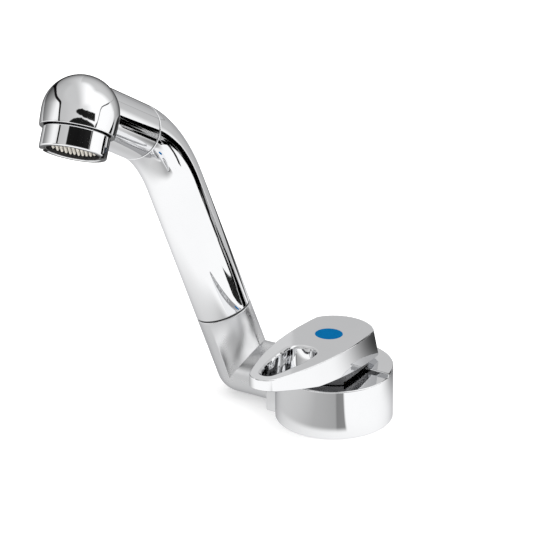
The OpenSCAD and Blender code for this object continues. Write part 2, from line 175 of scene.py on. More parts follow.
def lathe(b, prof, M, closed=False, n=160, wave=None):
    """Turns [r, z, nr, nz] points about the local Z axis. The path runs upwards on the outside."""
    R3 = M.to_3x3()
    rows = []
    for r, z, nr, nz in prof:
        if r < 1e-6:
            v = b.add(M @ Vector((0, 0, z)), R3 @ Vector((0, 0, 1 if nz >= 0 else -1)))
            rows.append([v] * n)
            continue
        row = []
        for j in range(n):
            a = 2 * math.pi * j / n
            c, s = math.cos(a), math.sin(a)
            row.append(b.add(M @ Vector((r * c, r * s, z)), R3 @ Vector((nr * c, nr * s, nz))))
        rows.append(row)
    b.grid(rows, close_u=True, close_v=closed)


def prism(b, outline, z0, z1, M=Matrix(), r_top=0.5, r_bot=0.0, k=4, holes=(), z_low=None, cap_low=True, cap_top=True):
    """Extrudes outlines [x, y, nx, ny] (outer one counter-clockwise) with rounded upper and lower edges and flat caps."""
    R3 = M.to_3x3()
    tops, lows = [], []
    for out in [outline, *holes]:
        rows = []
        low = [z_low(x, y) if z_low else z0 for x, y, _, _ in out]
        if r_bot > 0:
            for q in range(k + 1):
                f = math.pi / 2 * q / k
                rows.append(
                    [
                        b.add(
                            M @ Vector((x - nx * r_bot * (1 - math.sin(f)), y - ny * r_bot * (1 - math.sin(f)), zl + r_bot * (1 - math.cos(f)))),
                            R3 @ Vector((nx * math.sin(f), ny * math.sin(f), -math.cos(f))),
                        )
                        for (x, y, nx, ny), zl in zip(out, low)
                    ]
                )
        else:
            rows.append([b.add(M @ Vector((x, y, zl)), R3 @ Vector((nx, ny, 0))) for (x, y, nx, ny), zl in zip(out, low)])
        for q in range(k + 1):
            f = math.pi / 2 * q / k
            rows.append(
                [
                    b.add(
                        M @ Vector((x - nx * r_top * (1 - math.cos(f)), y - ny * r_top * (1 - math.cos(f)), z1 - r_top * (1 - math.sin(f)))),
                        R3 @ Vector((nx * math.cos(f), ny * math.cos(f), math.sin(f))),
                    )
                    for x, y, nx, ny in out
                ]
            )
        b.grid(rows)
        tops.append(rows[-1])
        lows.append(rows[0])
    if cap_top:
        cap(b, tops, R3 @ Vector((0, 0, 1)))
    if cap_low:
        if r_bot <= 0:
            lows = [[b.add(b.co[i], R3 @ Vector((0, 0, -1))) for i in row] for row in lows]
        cap(b, lows, R3 @ Vector((0, 0, -1)))


def cap(b, loops, normal):
    """Fills between an outer loop and any hole loops with triangles facing along normal."""
    bm = bmesh.new()
    back = {}
    edges = []
    for loop in loops:
        vs = []
        for i in loop:
            if vs and (b.co[i] - vs[-1].co).length < 1e-7:
                continue
            v = bm.verts.new(b.co[i])
            back[v] = i
            vs.append(v)
        if (vs[0].co - vs[-1].co).length < 1e-7:
            vs.pop()
        for i, v in enumerate(vs):
            edges.append(bm.edges.new((v, vs[(i + 1) % len(vs)])))
    made = bmesh.ops.triangle_fill(bm, use_beauty=True, use_dissolve=False, edges=edges, normal=normal)
    bm.normal_update()
    for f in [g for g in made["geom"] if isinstance(g, bmesh.types.BMFace)]:
        ix = [back[v] for v in f.verts]
        if f.normal.dot(normal) < 0:
            ix.reverse()
        b.face(*ix)
    bm.free()


def sweep(b, stations, n=160):
    """Rings of (matrix, radius, nr, nz): local Z is along the path, the normal has a radial and an axial part."""
    rows = []
    for M, r, nr, nz in stations:
        R3 = M.to_3x3()
        row = []
        for j in range(n):
            a = 2 * math.pi * j / n
            c, s = math.cos(a), math.sin(a)
            row.append(b.add(M @ Vector((r * c, r * s, 0)), R3 @ Vector((nr * c, nr * s, nz))))
        rows.append(row)
    b.grid(rows)


def arc_pts(cx, cy, r, a0, a1, steps, flip=False):
    """Points of an arc with normals away from its centre, or towards it."""
    s = -1 if flip else 1
    return [
        (cx + r * math.cos(a), cy + r * math.sin(a), s * math.cos(a), s * math.sin(a))
        for a in (math.radians(a0 + (a1 - a0) * i / steps) for i in range(steps + 1))
    ]


# ---------------------------------------------------------------- materials


def material(name, color, rough, metallic=0.0, vary=0.06, noise=60.0, bump=0.0, bump_scale=400.0, rough_vary=0.05, **sockets):
    m = bpy.data.materials.new(name)
    m.use_nodes = True
    nt = m.node_tree
    nodes, links = nt.nodes, nt.links
    nodes.clear()
    out = nodes.new("ShaderNodeOutputMaterial")
    bsdf = nodes.new("ShaderNodeBsdfPrincipled")
    links.new(bsdf.outputs["BSDF"], out.inputs["Surface"])
    bsdf.inputs["Metallic"].default_value = metallic
    for key, value in sockets.items():
        bsdf.inputs[key.replace("_", " ")].default_value = value
    tc = nodes.new("ShaderNodeTexCoord")
    nz = nodes.new("ShaderNodeTexNoise")
    nz.inputs["Scale"].default_value = noise
    nz.inputs["Detail"].default_value = 4.0
    nz.inputs["Roughness"].default_value = 0.55
    links.new(tc.outputs["Object"], nz.inputs["Vector"])
    ramp = nodes.new("ShaderNodeValToRGB")
    ramp.color_ramp.elements[0].position = 0.3
    ramp.color_ramp.elements[1].position = 0.7
    ramp.color_ramp.elements[0].color = (*[max(0.0, c * (1 - vary)) for c in color], 1)
    ramp.color_ramp.elements[1].color = (*[min(1.0, c * (1 + vary)) for c in color], 1)
    links.new(nz.outputs["Fac"], ramp.inputs["Fac"])
    links.new(ramp.outputs["Color"], bsdf.inputs["Base Color"])
    nr = nodes.new("ShaderNodeTexNoise")
    nr.inputs["Scale"].default_value = noise * 2.7
    nr.inputs["Detail"].default_value = 3.0
    links.new(tc.outputs["Object"], nr.inputs["Vector"])
    mr = nodes.new("ShaderNodeMapRange")
    mr.inputs["From Min"].default_value = 0.3
    mr.inputs["From Max"].default_value = 0.7
    mr.inputs["To Min"].default_value = rough * (1 - rough_vary)
    mr.inputs["To Max"].default_value = rough * (1 + rough_vary)
    links.new(nr.outputs["Fac"], mr.inputs["Value"])
    links.new(mr.outputs["Result"], bsdf.inputs["Roughness"])
    if bump > 0:
        nb = nodes.new("ShaderNodeTexNoise")
        nb.inputs["Scale"].default_value = bump_scale
        nb.inputs["Detail"].default_value = 3.0
        links.new(tc.outputs["Object"], nb.inputs["Vector"])
        bp = nodes.new("ShaderNodeBump")
        bp.inputs["Strength"].default_value = 0.4
        bp.inputs["Distance"].default_value = bump
        links.new(nb.outputs["Fac"], bp.inputs["Height"])
        links.new(bp.outputs["Normal"], bsdf.inputs["Normal"])
    return m


MATS = {
    "chrome": material("chrome_plate", (0.88, 0.885, 0.895), 0.03, 1.0, vary=0.012, noise=45.0, rough_vary=0.5, Specular_Tint=(0.60, 0.60, 0.61, 1.0)),
    "satin": material("satin_chrome", (0.80, 0.805, 0.815), 0.30, 1.0, vary=0.015, noise=45.0, rough_vary=0.2, Specular_Tint=(0.55, 0.55, 0.56, 1.0)),
    "edged": material("dome_chrome", (0.90, 0.905, 0.915), 0.03, 1.0, vary=0.012, noise=45.0, rough_vary=0.5, Specular_Tint=(0.12, 0.12, 0.12, 1.0)),
    "cast": material("cast_zinc", (0.16, 0.16, 0.165), 0.30, 1.0, vary=0.10, noise=160.0, rough_vary=0.3, bump=0.00002, bump_scale=1200.0),
    "steel": material("stainless_steel", (0.60, 0.60, 0.60), 0.28, 1.0, vary=0.08, noise=300.0, rough_vary=0.3, bump=0.00002, bump_scale=1500.0),
    "brass": material("machined_brass", (0.80, 0.56, 0.24), 0.24, 1.0, vary=0.08, noise=220.0, rough_vary=0.3, bump=0.00002, bump_scale=1200.0),
    "rubber": material("black_rubber", (0.018, 0.018, 0.019), 0.62, 0.0, vary=0.25, noise=260.0, rough_vary=0.15, bump=0.00004, bump_scale=1800.0),
    "ceramic": material("white_ceramic", (0.86, 0.85, 0.82), 0.12, 0.0, vary=0.03, noise=180.0, rough_vary=0.3),
    "white_plastic": material("white_nylon", (0.80, 0.80, 0.77), 0.42, 0.0, vary=0.05, noise=90.0, rough_vary=0.2, bump=0.00003, bump_scale=1600.0),
    "black_plastic": material("black_acetal", (0.012, 0.012, 0.013), 0.38, 0.0, vary=0.2, noise=300.0, rough_vary=0.2),
    # the aerator insert's pale acetal drawn dark: painted shade in the honeycomb's cells
    "plate_painted_shade": material("acetal_painted_shade", (0.05, 0.047, 0.042), 0.45, 0.0, vary=0.15, noise=260.0, rough_vary=0.2),
    "pale_plastic": material("pale_acetal", (0.62, 0.59, 0.53), 0.40, 0.0, vary=0.10, noise=260.0, rough_vary=0.2),
    "blue_plastic": material("blue_plastic", (0.012, 0.20, 0.60), 0.34, 0.0, vary=0.10, noise=110.0, rough_vary=0.2, bump=0.00004, bump_scale=1500.0),
    "blue_enamel": material("blue_enamel", (0.0025, 0.100, 0.255), 0.34, 0.0, vary=0.06, noise=160.0, rough_vary=0.2, Specular_IOR_Level=0.0),
}
for name, ob in frame["nodes"].items():
    slot = next(s["material_slot"] for s in frame["record"]["subparts"] if s["node"] == name)
    ob.data.materials.clear()
    ob.data.materials.append(MATS[slot])

CHROME = MATS["chrome"]

# ---------------------------------------------------------------- base

b = Build()
lathe(
    b,
    rounded(
        [
            (9.5, FRONT_H, 0.3), (9.5, 6, 0.05), (4, 6, 0.05), (4, 4.6, 0.05), (6.55, 4.6, 0.05), (6.55, 2.5, 0.05),
            (20.05, 2.5, 0.05), (20.05, 0, 0.2), (20.95, 0, 0.2), (20.95, 1.55, 0.05), (24.05, 1.55, 0.05), (24.05, 0, 0.2),
            (BASE_R, 0, 0.35), (BASE_R, FRONT_H, 0.6),
        ],
        True,
    ),
    Matrix(),
    closed=True,
    n=240,
)


def raised_outline():
    """The circle of the base kept where y is behind the step, or x is left of the lever's recess."""
    a0 = math.degrees(math.asin(STEP_Y / BASE_R))
    a1 = 180 + math.degrees(math.acos(16 / BASE_R))
    pts = [(BASE_R * math.cos(math.radians(a)), BASE_R * math.sin(math.radians(a)), 0) for a in [a0 + (a1 - a0) * i / 200 for i in range(201)]]
    pts[0] = (pts[0][0], pts[0][1], 0.35)
    pts[-1] = (pts[-1][0], pts[-1][1], 0.35)
    return rounded(pts + [(-16, STEP_Y, 0.5)], True)


prism(b, raised_outline(), FRONT_H - 0.6, BASE_H, r_top=0.6, cap_low=False)
# boss: flat sides, half-round top, along -X
boss = rounded(
    [(-BOSS_R, 0, 0.3)]
    + [(BOSS_R, 0, 0.3)]
    + [(BOSS_R * math.cos(math.radians(a)), FOLD_Z + BOSS_R * math.sin(math.radians(a)), 0) for a in range(0, 181, 3)],
    True,
)
TO_BOSS = Matrix(((0, 0, -1, -16.0), (-1, 0, 0, 0), (0, 1, 0, 0), (0, 0, 0, 1)))
prism(b, boss, 0, -BOSS_X - 16.0, TO_BOSS, r_top=0.4)
b.object("base_shell", "base", "chrome", CHROME, ["base_body"])

# ---------------------------------------------------------------- lever


def corner(r, inset):
    """Where the rear arc of radius r meets the side arc set in by inset: its angle from each arc's centre, and the point."""
    rad = SIDE_R - inset
    d = math.hypot(SIDE_X, REAR_Y - SIDE_Y)
    a_side = math.atan2(REAR_Y - SIDE_Y, SIDE_X) + math.acos((d * d + rad * rad - r * r) / (2 * d * rad))
    x, y = rad * math.cos(a_side) - SIDE_X, SIDE_Y + rad * math.sin(a_side)
    return math.degrees(math.atan2(y - REAR_Y, x)), math.degrees(a_side), x, y


def lever_ring(r, fillet=0.9, n=64):
    """Outline at the height where the rear arc has radius r."""
    ar, a_s, cx, cy = corner(r - fillet, fillet)
    at = math.degrees(math.atan2(TIP_Y - SIDE_Y, SIDE_X))
    pts = arc_pts(0, REAR_Y, r, ar, 180 - ar, n)
    pts += arc_pts(-cx, cy, fillet, 180 - ar, 180 - a_s, 8)[1:]
    pts += arc_pts(SIDE_X, SIDE_Y, SIDE_R, 180 - a_s, 180 - at, n)[1:]
    pts += arc_pts(0, TIP_Y, TIP_R, 180 - at, 360 + at, n)[1:]
    pts += arc_pts(-SIDE_X, SIDE_Y, SIDE_R, at, a_s, n)[1:]
    pts += arc_pts(cx, cy, fillet, a_s, ar, 8)[1:-1]
    return pts


def finger_hole(n=48):
    """Runs clockwise, with normals into the hole."""
    r, y, side, d = 7.3, 33.2 - LEVER_TIP, 90.0, 28.7
    sx = side - r
    tr = (side**2 - sx**2 - d**2) / (2 * (side - d))
    ty = y - d + tr
    at = math.degrees(math.atan2(ty - y, sx))
    pts = arc_pts(0, y, r, 0, 180, n, True)
    pts += arc_pts(sx, y, side, 180, 180 - at, n, True)[1:]
    pts += arc_pts(0, ty, tr, 180 - at, 360 + at, 24, True)[1:]
    pts += arc_pts(-sx, y, side, at, 0, n, True)[1:-1]
    return pts[::-1]


def lever_low(y):
    belly = LEVER_Z + max(0.0, 12 - y) * math.tan(math.radians(BELLY))
    return max(belly, LEVER_Z + 45 * math.tan(math.radians(BELLY)) + (-33 - y) * math.tan(math.radians(SLOPE)))


def lever_high(y):
    return LEVER_TOP - y * math.tan(math.radians(TILT))


def lever_body(b, under, k=6):
    """Plate with a sloping top, a flared rear end and rounded edges; the flat underside is a piece of its own."""
    up_n = Vector((0, math.sin(math.radians(TILT)), math.cos(math.radians(TILT))))
    hole = finger_hole()
    walls = [
        (lever_ring(REAR_R + FLARE), lever_ring(REAR_R), 0.55, 0.4, 0.0),
        ([(x + nx * 0.9, y + ny * 0.9, nx, ny) for x, y, nx, ny in hole],) * 2 + (1.3, 0.5, 1.0),
    ]
    tops, lows = [], []
    for low, high, r_top, r_bot, wavy in walls:
        sides = [], []
        for (x, y, nx, ny), (u, v, _, _) in zip(low, high):
            for side, lag in zip(sides, (0.0, 2.2)):
                n = Vector((nx, ny, ((x - u) * nx + (y - v) * ny) / (lever_high(v) - lever_low(y)))).normalized()
                n += Vector((-ny, nx, 0)) * wavy * (0.32 * math.sin(0.6 * x + 0.35 * y + lag) + 0.18 * math.sin(1.1 * y - 0.8 * x + 1 - lag))
                n.z += wavy * 0.38 * math.sin(0.55 * x - 0.45 * y + 2 + 1.3 * lag)
                side.append(n.normalized())
        rows = []
        for q in range(k + 1):
            f = math.pi / 2 * q / k
            c, w = r_bot * (1 - math.sin(f)), r_bot * (1 - math.cos(f))
            rows.append(
                [
                    b.add((x - nx * c, y - ny * c, lever_low(y) + w), n * math.sin(f) - Vector((0, 0, math.cos(f))))
                    for (x, y, nx, ny), n in zip(low, sides[0])
                ]
            )
        for q in range(k + 1):
            f = math.pi / 2 * q / k
            c, w = r_top * (1 - math.cos(f)), r_top * (1 - math.sin(f))
            rows.append(
                [
                    b.add((x - nx * c, y - ny * c, lever_high(y - ny * c) - w), n * math.cos(f) + up_n * math.sin(f))
                    for (x, y, nx, ny), n in zip(high, sides[1])
                ]
            )
        b.grid(rows)
        tops.append(rows[-1])
        lows.append([under.add(b.co[i], Vector((0, 0, -1))) for i in rows[0]])
    cap(b, tops, up_n)
    cap(under, lows, Vector((0, 0, -1)))


b, under = Build(), Build()
lever_body(b, under)


def hub_outline(n=48):
    """The lever's arcs set in by 1.4, closed in front by a wide arc."""
    inset, fillet, fy, fr = 1.4, 0.5, 2.0, 20.5
    rear = REAR_R - inset - 1
    ar, a_s, cx, cy = corner(rear - fillet, inset + fillet)
    # where the front arc meets the side arc, found by halving
    lo_a, hi_a = -8.0, 0.0
    for _ in range(40):
        mid = (lo_a + hi_a) / 2
        x, y = (SIDE_R - inset) * math.cos(math.radians(mid)) - SIDE_X, SIDE_Y + (SIDE_R - inset) * math.sin(math.radians(mid))
        if math.hypot(x, y - fy) > fr:
            lo_a = mid
        else:
            hi_a = mid
    fa = math.degrees(math.atan2(y - fy, x))
    pts = arc_pts(0, REAR_Y, rear, ar, 180 - ar, n)
    pts += arc_pts(-cx, cy, fillet, 180 - ar, 180 - a_s, 5)[1:]
    pts += arc_pts(SIDE_X, SIDE_Y, SIDE_R - inset, 180 - a_s, 180 - mid, n)[1:]
    pts += arc_pts(0, fy, fr, 180 - fa, 360 + fa, n)
    pts += arc_pts(-SIDE_X, SIDE_Y, SIDE_R - inset, mid, a_s, n)
    pts += arc_pts(cx, cy, fillet, a_s, ar, 5)[1:-1]
    return pts


hub = Build()
prism(hub, hub_outline(), BASE_H + 0.3, LEVER_TOP - 10.2, r_top=0.05, r_bot=0.3, cap_top=False)


def lug_outline():
    """The part of the hub that stays in front of the step at both ends of the lever's turn."""
    lim, c = STEP_Y - 0.3, math.radians(TRAVEL)
    pts = [(x, y) for x, y, _, _ in hub_outline()]
    for nx, ny in ((0.0, 1.0), (math.sin(c), math.cos(c))):
        out = []
        for i, p in enumerate(pts):
            q = pts[(i + 1) % len(pts)]
            dp, dq = p[0] * nx + p[1] * ny - lim, q[0] * nx + q[1] * ny - lim
            if dp <= 0:
                out.append(p)
            if dp * dq < 0:
                f = dp / (dp - dq)
                out.append((p[0] + (q[0] - p[0]) * f, p[1] + (q[1] - p[1]) * f))
        pts = out
    return rounded([(x, y, 0.15) for x, y in pts], True, 3)


prism(hub, lug_outline(), FRONT_H + 0.3, BASE_H + 0.6, r_top=0.05, r_bot=0.2, cap_top=False)
b.object("lever_shell", "lever", "chrome", CHROME, ["lever"])
under.object("lever_underside", "lever", "chrome", CHROME, ["lever"])
# The hub is part of the chrome lever but is drawn in the dark cast-zinc material: painted shade for the dark gap under
# the lever.
hub.object("lever_hub", "lever", "chrome", MATS["cast"], ["lever"])

b = Build()
lathe(b, rounded([(0, -1.15, 0), (5.9, -1.15, 0.1), (5.9, 0.02, 0.12), (0, 0.05, 0)], False), Matrix.Translation((0, -DISC_Y, lever_high(-DISC_Y))) @ rot("X", -TILT), n=96)
b.object("blue_index", "lever", "blue_enamel", MATS["blue_enamel"], ["index_disc"])

# ---------------------------------------------------------------- arm


def leg_end(r, z, bevel, inner, up=True, k=5):
    """Rounded rim of a tube's end: (radius, z, nr, nz) from the outside in."""
    s = 1 if up else -1
    out = []
    for q in range(k + 1):
        f = math.pi / 2 * q / k
        out.append((r - bevel * (1 - math.cos(f)), z - s * bevel * (1 - math.sin(f)), math.cos(f), s * math.sin(f)))
    out.append((inner, z, 0.0, float(s)))
    return out


def elbow():
    """Two legs that meet in a ball on the outside and in a crease on the inside."""
    b = Build()
    A = (AT_FOLD.to_3x3() @ Vector((0, 0, 1))).normalized()
    B = (AT_RISER.to_3x3() @ Vector((0, 0, 1))).normalized()
    E = AT_RISER.translation
    inner = (A + B).normalized()  # towards the inside of the bend
    axis = A.cross(B).normalized()
    open_a = A.angle(B)
    beta = math.pi - open_a  # how far the path turns
    n, k = 192, 28
    inA = (inner - A * inner.dot(A)).normalized()
    inB = (inner - B * inner.dot(B)).normalized()
    rows = []
    endA = -ELBOW_X + BOSS_X - 2 * SEAM
    endB = LEG - SEAM
    ringA, ringB = [], []

    def ring(base, u, v, D, z, r, nr, nz):
        row = []
        for j in range(n):
            a = 2 * math.pi * j / n
            d = u * math.cos(a) + v * math.sin(a)
            row.append(b.add(base + D * z + d * r, d * nr + D * nz))
        return row

    prof = leg_end(TUBE_R, 0, 0.4, 7.0)
    for r, z, nr, nz in reversed(prof):
        rows.append(ring(E, inA, axis, A, endA + z, r, nr, nz))
    # meeting line: inside it is the crease, outside the start of the ball
    for t in range(k + 1):
        row = []
        f = t / k
        for j in range(n):
            a = 2 * math.pi * j / n
            c, s = math.cos(a), math.sin(a)
            dA = inA * c + axis * s
            dB = inB * c + axis * s
            if c > 0:
                w = TUBE_R * c / math.tan(open_a / 2)
                p = E + A * w + dA * TUBE_R
                row.append(b.add(p, dA if f < 0.5 else dB))
            else:
                d = (Matrix.Rotation(-beta * f, 3, axis) @ dA)
                row.append(b.add(E + d * TUBE_R, d))
        rows.append(row)
    for r, z, nr, nz in prof:
        rows.append(ring(E, inB, axis, B, endB + z, r, nr, nz))
    b.grid(rows, flip=True)
    # the two spigots
    for M, z0, z1, r in ((AT_FOLD, endA - 1, -ELBOW_X - 13.8, 7.0), (AT_RISER, endB - 1, LEG + 13.5, 8.0)):
        lathe(b, rounded([(4, z0, 0), (r, z0, 0), (r, z1, 0.4), (4, z1, 0.3), (4, z0, 0)], False), M, n=96)
    return b


elbow().object("elbow_shell", "arm", "chrome", MATS["satin"], ["lower_elbow"])


def bend_at(f):
    a = math.radians(BEND_A) * f
    return AT_RISER @ Matrix.Translation((0, -BEND_R * (1 - math.cos(a)), BEND_Z + BEND_R * math.sin(a))) @ rot("X", BEND_A * f)


b = Build()
st = [(AT_RISER @ Matrix.Translation((0, 0, z)), r, nr, nz) for r, z, nr, nz in reversed(leg_end(TUBE_R, LEG + SEAM, 0.4, 8.05, up=False))]
st += [(AT_RISER @ Matrix.Translation((0, 0, LEG + SEAM + 0.4 + (BEND_Z - LEG - SEAM - 0.4) * i / 12)), TUBE_R, 1, 0) for i in range(1, 12)]
st += [(bend_at(i / 64), TUBE_R, 1, 0) for i in range(64)]
st += [(AT_STUB @ Matrix.Translation((0, 0, z)), r, nr, nz) for r, z, nr, nz in leg_end(TUBE_R, 0, 0.4, 8.05)]
sweep(b, st, 192)
# inner wall
inn = [(AT_RISER @ Matrix.Translation((0, 0, LEG + SEAM)), 8.05, -1, 0), (AT_RISER @ Matrix.Translation((0, 0, BEND_Z)), 8.05, -1, 0)]
inn += [(bend_at(i / 24), 8.05, -1, 0) for i in range(1, 24)] + [(AT_STUB, 8.05, -1, 0)]
sweep(b, inn[::-1], 96)
b.object("riser_shell", "riser", "chrome", CHROME, ["riser_tube"])

# ---------------------------------------------------------------- spout head

b = Build()
R3 = AT_HEAD.to_3x3()
stub = [(r, z, nr, nz) for r, z, nr, nz in reversed(leg_end(TUBE_R, 2 * SEAM, 0.4, 8.0, up=False))]
n, rows = 192, []
for r, z, nr, nz in stub:
    rows.append([b.add(AT_HEAD @ Vector((r * math.cos(2 * math.pi * j / n), r * math.sin(2 * math.pi * j / n), z)), R3 @ Vector((nr * math.cos(2 * math.pi * j / n), nr * math.sin(2 * math.pi * j / n), nz))) for j in range(n)])
last, lip = [], []
IN_NOZZLE, N3 = AT_NOZZLE.inverted() @ AT_HEAD, AT_NOZZLE.to_3x3()


def wall_end(x, y):
    """The stub's wall stops short of the aerator housing where it hangs below the skirt."""
    near, far = 8.0, HEAD_REACH - 6
    for _ in range(40):
        q = IN_NOZZLE @ Vector((x, y, far))
        if q.z <= SKIRT or math.hypot(q.x, q.y) >= AER_R + 0.35:
            return far
        mid = (near + far) / 2
        q = IN_NOZZLE @ Vector((x, y, mid))
        if q.z <= SKIRT or math.hypot(q.x, q.y) >= AER_R + 0.35:
            near = mid
        else:
            far = mid
    return near


for j in range(n):
    a = 2 * math.pi * j / n
    x, y = TUBE_R * math.cos(a), TUBE_R * math.sin(a)
    end = wall_end(x, y)
    q = IN_NOZZLE @ Vector((x, y, end))
    last.append(b.add(AT_HEAD @ Vector((x, y, end)), R3 @ Vector((x, y, 0))))
    lip.append(b.add(AT_NOZZLE @ Vector((q.x, q.y, min(q.z, SKIRT))), N3 @ Vector((-q.x, -q.y, 0))))
b.grid(rows + [last])
b.grid([[b.add(b.co[i], b.no[k]) for i, k in zip(last, lip)], lip])
lathe(b, rounded([(4, -13.5, 0.3), (8, -13.5, 0.4), (8, 1.6, 0), (4, 1.6, 0)], True), AT_HEAD, n=96)
b.object("head_stub", "head", "chrome", CHROME, ["spout_head"])

# dome: ball, straight skirt, rounded lip, inside; the polished skirt is a little barrelled
b = Build()
dome = [(DOME_R * math.sin(math.radians(a)), -DOME_R * math.cos(math.radians(a)), math.sin(math.radians(a)), -math.cos(math.radians(a))) for a in [90 * i / 48 for i in range(48)]]
dome[0] = (0.0, -DOME_R, 0.0, -1.0)
BARREL = 5.6


def barrelled(r, z, nr, nz):
    """Normal of the ball and skirt with the barrel's slope added, which fades out up the ball."""
    if z > 0:
        r -= 0.45 * (z / SKIRT) ** 2
    slope = BARREL * (1 - z / SKIRT) if z >= 0 else BARREL * max(0.0, 1 - math.degrees(math.asin(min(1.0, -z / DOME_R))) / 40)
    a = math.atan2(-nz, nr) + math.radians(slope)
    return r, z, math.cos(a), -math.sin(a)


dome = [barrelled(*q) for q in dome] + [barrelled(DOME_R, (SKIRT - 0.55) * i / 16, 1.0, 0.0) for i in range(17)]
skirt = rounded([(DOME_R - 0.45, SKIRT - 0.56, 0), (DOME_R - 0.45, SKIRT, 0.55), (12.1, SKIRT, 0.3), (12.1, -2.2, 0.2), (9, -2.2, 0.2), (9, -7.5, 0.2), (0, -7.5, 0)], False, 6)
lathe(b, dome + skirt, AT_NOZZLE, n=224)
b.object("head_dome", "head", "chrome", MATS["edged"], ["spout_head"])

# ---------------------------------------------------------------- aerator


def lathe_arc(b, prof, M, a0, a1, n):
    """Part turn of a closed profile, with flat ends."""
    R3 = M.to_3x3()
    rows = [[] for _ in prof]
    for j in range(n + 1):
        a = math.radians(a0 + (a1 - a0) * j / n)
        c, s = math.cos(a), math.sin(a)
        for row, (r, z, nr, nz) in zip(rows, prof):
            row.append(b.add(M @ Vector((r * c, r * s, z)), R3 @ Vector((nr * c, nr * s, nz))))
    b.grid(rows, close_u=False, close_v=True)
    for a, j, s in ((a0, 0, -1), (a1, -1, 1)):
        t = R3 @ Vector((-math.sin(math.radians(a)) * s, math.cos(math.radians(a)) * s, 0))
        loop = [b.add(b.co[row[j]], t) for row in rows]
        b.face(*(loop if s < 0 else loop[::-1]))


b = Build()
lathe(
    b,
    rounded(
        [(10.6, -0.4, 0.1), (11.95, -0.4, 0.2), (11.95, SKIRT + 0.4, 0.1), (AER_R, SKIRT + 0.4, 0.5), (AER_R, RIM - 4, 0), (11.5, RIM - 4, 0), (11.5, LIP, 0.1), (10.6, LIP - 0.8, 0.1)],
        True,
    ),
    AT_NOZZLE,
    closed=True,
    n=224,
)
crown = rounded([(11.5, RIM - 4, 0), (AER_R, RIM - 4, 0), (AER_R, RIM, 0.6), (11.5, RIM, 0.45)], True, 6)
for a in (-14, 166):
    lathe_arc(b, crown, AT_NOZZLE, a + 9.3, a + 170.7, 110)
b.object("aerator_shell", "head", "chrome", MATS["edged"], ["aerator_housing"])

# A black ring lines the housing's bore between the insert and the crown, so the bore shows black.
b = Build()
lathe(b, rounded([(10.75, LIP + 0.4, 0.1), (11.45, LIP + 0.4, 0.1), (11.45, RIM - 0.45, 0.15), (11.0, RIM - 0.45, 0.15)], True), AT_NOZZLE, closed=True, n=160)
b.object("aerator_bore_ring", "head", "black_plastic", MATS["black_plastic"], [])

plate, pins = Build(), Build()
lathe(plate, rounded([(9.9, LIP + 0.3, 0.1), (10.7, LIP + 0.3, 0.1), (10.7, LIP + 1.9, 0.2), (9.9, LIP + 1.9, 0.2)], True), AT_NOZZLE, closed=True, n=128)
pitch, wall = 1.95, 0.28
R3 = AT_NOZZLE.to_3x3()
nub = [(0.62 if i == 0 else 0.56, LIP + 1.3 + 1.2 * i / 2, 1.0, 0.05) for i in range(3)]
nub += [(0.56 * math.cos(math.radians(a)), LIP + 2.5 + 0.45 * math.sin(math.radians(a)), math.cos(math.radians(a)), math.sin(math.radians(a))) for a in (25, 50, 75)]
nub += [(0.0, LIP + 2.95, 0.0, 1.0)]
for p in range(-9, 10):
    for q in range(-9, 10):
        cx, cy = pitch * (q + p / 2), pitch * p * math.sqrt(3) / 2
        if math.hypot(cx, cy) > 9.35:
            continue
        lathe(pins, nub, AT_NOZZLE @ Matrix.Translation((cx, cy, 0)), n=14)
        ro = pitch / math.sqrt(3) - 0.02
        ri = ro - wall
        d = [Vector((math.cos(math.radians(60 * k + 30)), math.sin(math.radians(60 * k + 30)), 0)) for k in range(6)]
        o = Vector((cx, cy, 0))
        for k in range(6):
            u, v = d[k], d[(k + 1) % 6]
            m = (u + v).normalized()
            lo_o, hi_o = Vector((0, 0, LIP + 0.5)), Vector((0, 0, LIP + 1.7))
            top = Vector((0, 0, LIP + 1.9))
            mid = (ro + ri) / 2
            quads = (
                ((o + u * ro + lo_o, o + v * ro + lo_o, o + v * ro + hi_o, o + u * ro + hi_o), m),
                ((o + u * ro + hi_o, o + v * ro + hi_o, o + v * mid + top, o + u * mid + top), m + Vector((0, 0, 0.8))),
                ((o + u * mid + top, o + v * mid + top, o + v * ri + hi_o, o + u * ri + hi_o), Vector((0, 0, 0.8)) - m),
                ((o + u * ri + hi_o, o + v * ri + hi_o, o + v * ri + lo_o, o + u * ri + lo_o), -m),
            )
            for pts, nn in quads:
                plate.face(*[plate.add(AT_NOZZLE @ w, R3 @ nn) for w in pts])
# The insert's honeycomb is pale plastic drawn in the dark material, painted shade in its cells; the pins keep the pale
# colour.
plate.object("aerator_plate", "head", "pale_plastic", MATS["plate_painted_shade"], ["aerator_insert"])
pins.object("aerator_pins", "head", "pale_plastic", MATS["pale_plastic"], ["aerator_insert"])

# ---------------------------------------------------------------- under the deck

b = Build()
lathe(b, rounded([(12, 0.3, 0.1), (20, 0.3, 0.2), (20, 2.45, 0.3), (12, 2.45, 0.3)], True), Matrix(), closed=True, n=160)
turns, rows = 2.0, []
for i in range(392):
    z = -49.0 + 49.4 * i / 391
    row = []
    for j in range(96):
        a = 2 * math.pi * j / 96
        f = (z / turns - j / 96) % 1.0
        h = max(0.0, min(1.0, 1.35 - abs(f - 0.5) * 4 * 0.75)) if f else 0.0
        fade = min(1.0, (z + 49.0) / 1.2)
        r = 14.85 + 1.13 * h * fade
        row.append(b.add((r * math.cos(a), r * math.sin(a), z), (math.cos(a), math.sin(a), 0)))
    rows.append(row)
for i, row in enumerate(rows):
    for j in range(96):
        lo_i, hi_i = rows[max(i - 1, 0)][j], rows[min(i + 1, len(rows) - 1)][j]
        du = b.co[row[(j + 1) % 96]] - b.co[row[j - 1]]
        b.no[row[j]] = du.cross(b.co[hi_i] - b.co[lo_i]).normalized()
b.grid(rows)
lathe(b, rounded([(12, 0.4, 0), (12, -50, 0.3), (14.85, -50, 0.5), (14.85, -49, 0)], False), Matrix(), n=96)
b.object("shank_thread", "base", "white_plastic", MATS["white_plastic"], ["threaded_shank"])

